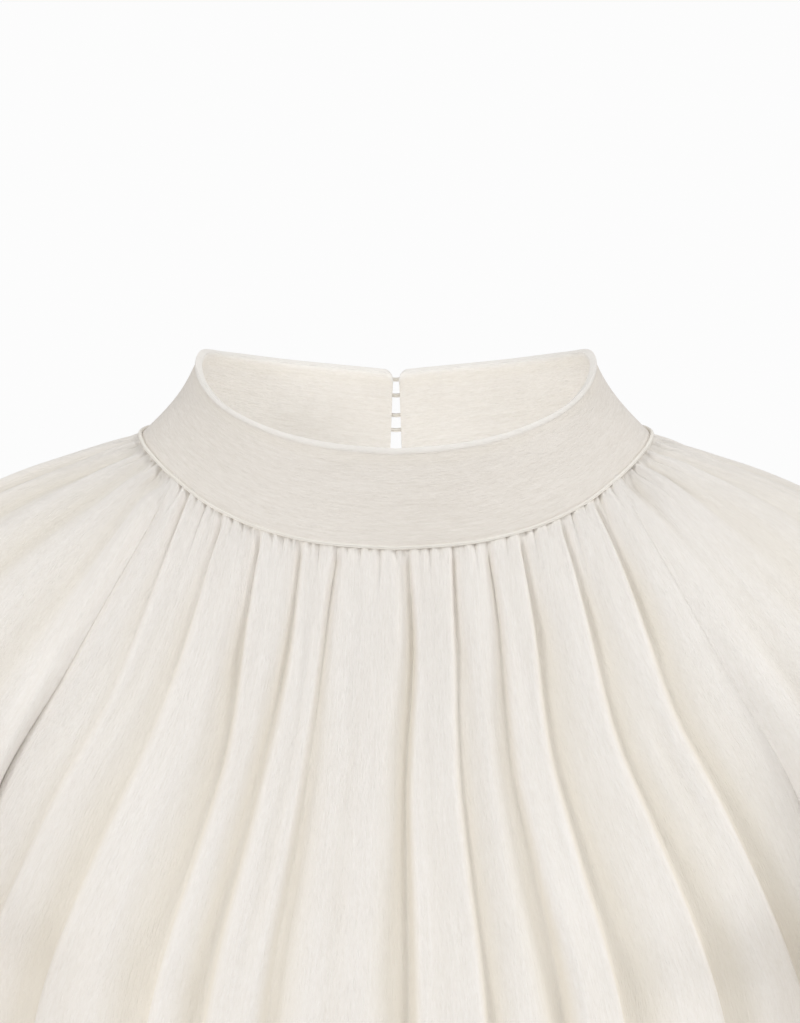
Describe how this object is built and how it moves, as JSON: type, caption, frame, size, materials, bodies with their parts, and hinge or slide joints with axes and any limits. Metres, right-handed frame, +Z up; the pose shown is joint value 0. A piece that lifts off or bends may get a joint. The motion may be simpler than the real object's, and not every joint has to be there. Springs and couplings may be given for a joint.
{
  "type": "cape blouse",
  "caption": "Ivory crepe blouse, hollow as worn, with a stand collar, a gathered neck seam, raglan cape sleeves and a looped opening at the centre back.",
  "frame": {"origin": "on the neck's axis, level with the shoulder ends of the neck seam, where the wearer's neck and shoulders hold the garment", "axes": "+Z up, front faces -Y, +X to the right of somebody who looks at the front"},
  "size_m": [0.7577, 0.2947, 0.656],
  "materials": {
    "crepe": "fine crinkled crepe with a faint sheen",
    "collar_crepe": "the same crepe, doubled, its crinkle running round the neck",
    "cord": "smooth covered cord",
    "covered_button": "cloth-covered, smooth"
  },
  "bodies": {
    "root": {"front": "crepe", "back": "crepe", "cape_sleeve_a": "crepe", "cape_sleeve_b": "crepe", "collar": "collar_crepe", "neck_piping": "cord", "button_loop_1": "cord", "button_1": "covered_button", "button_loop_2": "cord", "button_2": "covered_button", "button_loop_3": "cord", "button_3": "covered_button", "button_loop_4": "cord", "button_4": "covered_button"}
  },
  "joints": []
}
